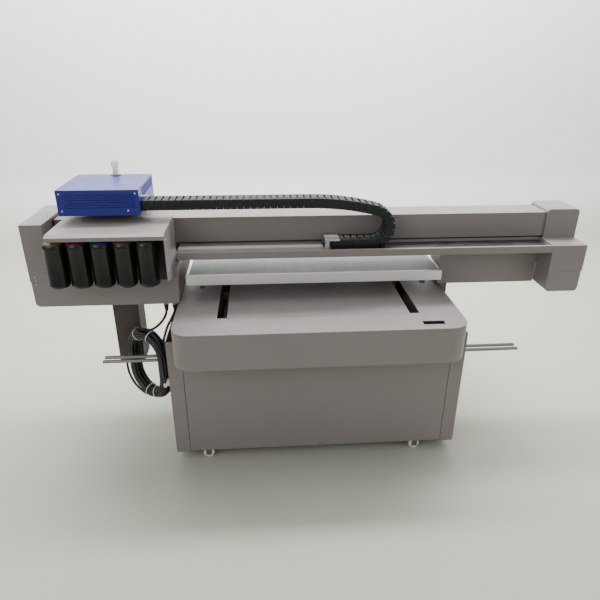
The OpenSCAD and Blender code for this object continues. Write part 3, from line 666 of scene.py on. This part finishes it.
def links(centres, ahead, outwards, length=LINK):
    """Copies of one link, each set along its own stretch of the chain's middle line."""
    points, faces = joined(LINK_PARTS)
    across = np.array((0, 1, 0))
    placed = (centres[:, None] + points[None, :, :1] * (length / LINK) * ahead[:, None]
              + points[None, :, 1:2] * across + points[None, :, 2:] * outwards[:, None])
    return placed.reshape(-1, 3), [face + k * len(points) for k in range(len(centres)) for face in faces]


def straight_run(start, end, height, way):
    """Links at one height, as many as fit best, each stretched a little so that they fill the run."""
    count = max(1, round(abs(end - start) / LINK))
    length = abs(end - start) / count
    x = start + np.sign(end - start) * length * np.arange(count)
    centres = np.stack([x, np.full(count, CHAIN_Y), np.full(count, height)], -1)
    ahead = np.tile((way, 0, 0), (count, 1)).astype(float)
    outwards = np.tile((0, 0, way), (count, 1)).astype(float)
    return links(centres, ahead, outwards, length)


def bent_run(x, z, radius, first, last, count):
    """Links round an arc from one angle down to another, each on its own chord."""
    angle = np.radians(np.linspace(first, last, count + 1))
    ends = np.stack([x + radius * np.cos(angle), np.full(count + 1, CHAIN_Y), z + radius * np.sin(angle)], -1)
    step = np.diff(ends, axis=0)
    length = np.linalg.norm(step, axis=1, keepdims=True)
    ahead = step / length
    outwards = np.stack([-ahead[:, 2], np.zeros(count), ahead[:, 0]], -1)
    return links(ends[:-1], ahead, outwards, float(length[0, 0]))


# The bend: how far it drops, the angle of its shallow dip, its tight radius, and where the dip starts.
DROP = 0.162
DIP = 15
BEND_R = 0.065
DIP_X = -0.022
UPPER_Z = 1.019
DIP_R = (DROP - BEND_R * (1 + math.cos(math.radians(DIP)))) / (1 - math.cos(math.radians(DIP)))
BEND_X = DIP_X + (DIP_R - BEND_R) * math.sin(math.radians(DIP))
LOWER_Z = UPPER_Z - DROP
upper = make("chain_upper_links", straight_run(-0.640, DIP_X, UPPER_Z, 1), "chain_plastic", "carriage",
             ("chain_upper_run",))
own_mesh(upper)
make("chain_bend_links", joined([bent_run(DIP_X, UPPER_Z - DIP_R, DIP_R, 90, 90 - DIP, 10),
                                 bent_run(BEND_X, LOWER_Z + BEND_R, BEND_R, 90 - DIP, -90, 8)]),
     "chain_plastic", "chain", ("chain_bend",))
lower = make("chain_lower_links", straight_run(BEND_X, 0.060, LOWER_Z, -1), "chain_plastic", None,
             ("chain_lower_run",))
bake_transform(lower)
make("tray_liner", block((0.095, -0.3255, 0.8360), (0.925, -0.2325, 0.8372), 0.0004), "black_plastic", "base")


# ---------------------------------------------------------------- ink bottles

BOTTLE_X = [-0.929 + 0.079 * k for k in range(5)]
BOTTLE_Y = -0.430
BOTTLE_Z = 0.760
side_profile = [(10, 0.2), (28, 0), (32.6, 2.2), (36, 7), (37, 12), (37, 14), (36.4, 16), (36.4, 146),
                (37, 149), (37, 152), (36.4, 156), (35.2, 159.4), (33.6, 162.0)]
rim_profile = [(33.4, 161.6), (32.6, 163.4), (30.6, 165.4), (27.6, 167.2), (24.6, 168.4), (22.0, 168.9)]
lid_profile = [(22.4, 168.2), (22.0, 169.6), (20.5, 170.4), (13.5, 171.7), (12.0, 172.0), (4, 172.0)]


def bottle_part(profile, x):
    """A profile in millimetres turned round the upright axis of the bottle at x."""
    return turned([(r * MM, h * MM) for r, h in profile], (x, BOTTLE_Y, BOTTLE_Z), sides=48)


bottles = [bottle_part(profile, x) for x in BOTTLE_X for profile in (side_profile, lid_profile)]
make("ink_bottle_bodies", joined(bottles), "bottle_black", "base", ("ink_bottles",))
for x, tint in zip(BOTTLE_X, ("yellow", "magenta", "cyan", "pink", "grey")):
    make(tint + "_cap", bottle_part(rim_profile, x), tint + "_cap", "base")


# ---------------------------------------------------------------- small parts

def screw(at, out, radius=0.0031, proud=0.0018):
    """A low round screw head with a sunk round recess."""
    profile = [(radius, 0), (radius, proud * 0.55), (radius * 0.86, proud * 0.9), (radius * 0.6, proud),
               (radius * 0.45, proud), (radius * 0.42, proud * 0.35)]
    return turned(profile, at, out, 12)


make("carriage_screws", joined([screw((x, -0.325, z), (0, -1, 0)) for x, z in (
    (-0.915, 1.006), (-0.683, 1.006), (-0.918, 1.068), (-0.653, 1.068))]), "white_nylon", "carriage")
make("housing_screws", joined(
    [screw((-1.048, -0.345, z), (0, -1, 0)) for z in (0.750, 0.764)]
    + [screw((-0.541, -0.440, z), (1, 0, 0)) for z in (0.930, 0.815)]
    + [screw((-1.050, -0.344, 0.733), (0, -1, 0))]
    + [screw((-0.334, -0.490, 0.639), (0, 0, 1)), screw((-0.296, -0.520, 0.639), (0, 0, 1))]),
    "brushed_along_x", "base")


def lattice(low, high, pitch, width, x):
    """Crossing slanted bars, cut to a rectangle of y and z at one x."""
    parts = []
    span_y, span_z = high[0] - low[0], high[1] - low[1]
    for slope in (1, -1):
        for offset in np.arange(-span_z, span_y + 1e-6, pitch):
            ends = np.array([(offset, 0), (offset + span_z, span_z)])
            if slope < 0:
                ends[:, 1] = span_z - ends[:, 1]
            t = (np.clip(ends[:, 0], 0, span_y) - ends[0, 0]) / (ends[1, 0] - ends[0, 0])
            if t[1] - t[0] < 0.1:
                continue
            cut = ends[0] + t[:, None] * (ends[1] - ends[0])
            along = (cut[1] - cut[0]) / np.linalg.norm(cut[1] - cut[0])
            aside = np.array((-along[1], along[0])) * width / 2
            flat = np.array([cut[0] - aside, cut[1] - aside, cut[1] + aside, cut[0] + aside]) + low
            thick = 0.0012 + 0.0002 * slope
            rings = np.stack([np.column_stack([np.full(4, x + deep), flat]) for deep in (0, thick)])
            parts.append(loft(rings))
    return joined(parts)


make("side_grille", lattice((-0.263, 1.0435), (-0.067, 1.0715), 0.011, 0.0026, -0.6428), "blue_grille",
     "carriage")
louvres = [block((-0.898, -0.3262, 1.0185 + 0.009 * row), (-0.657, -0.3235, 1.0205 + 0.009 * row), 0.0006)
           for row in range(6)]
make("louvre_lips", joined(louvres), "blue_paint", "carriage")

TUBE_AT = (-0.776, -0.068, 1.073)
tube_profile = [(9.5, 0), (11.8, 0.2), (11.8, 8), (16, 8.2), (16, 10.6), (11.9, 11.2), (10.5, 22), (10.5, 38),
                (12, 42), (14.6, 50), (15, 63.4), (14.2, 64), (13.4, 63.4), (12.8, 51), (9.2, 40), (8.8, 1)]
make("filler_funnel", turned([(r * MM, h * MM) for r, h in tube_profile], TUBE_AT, sides=36), "clear_plastic",
     "carriage", ("filler_tube",))
grommet_profile = [(16.2, 8.0), (19.5, 8.0), (19.0, 10.4), (17.0, 11.6), (16.2, 11.0)]
make("tube_grommet", ring([(r * MM, h * MM) for r, h in grommet_profile], TUBE_AT, sides=36), "black_plastic",
     "carriage")


def tie(turn, way, width=0.0032, radius=0.0258):
    """A thin strap drawn round the bundle where the hank passes one place."""
    t = np.array([turn, turn + 0.002])
    zero = np.zeros(2)
    here, there = on_coil(t, zero, zero, way)
    ahead = (there - here) / np.linalg.norm(there - here)
    outer = radius + 0.0012
    profile = [(radius, -width / 2), (outer, -width / 2), (outer, width / 2), (radius, width / 2)]
    return ring(profile, here, ahead)


make("hank_ties", joined([tie(t, 1) for t in (0.455, 0.52, 0.035, 0.93)]), "white_plastic", "base")
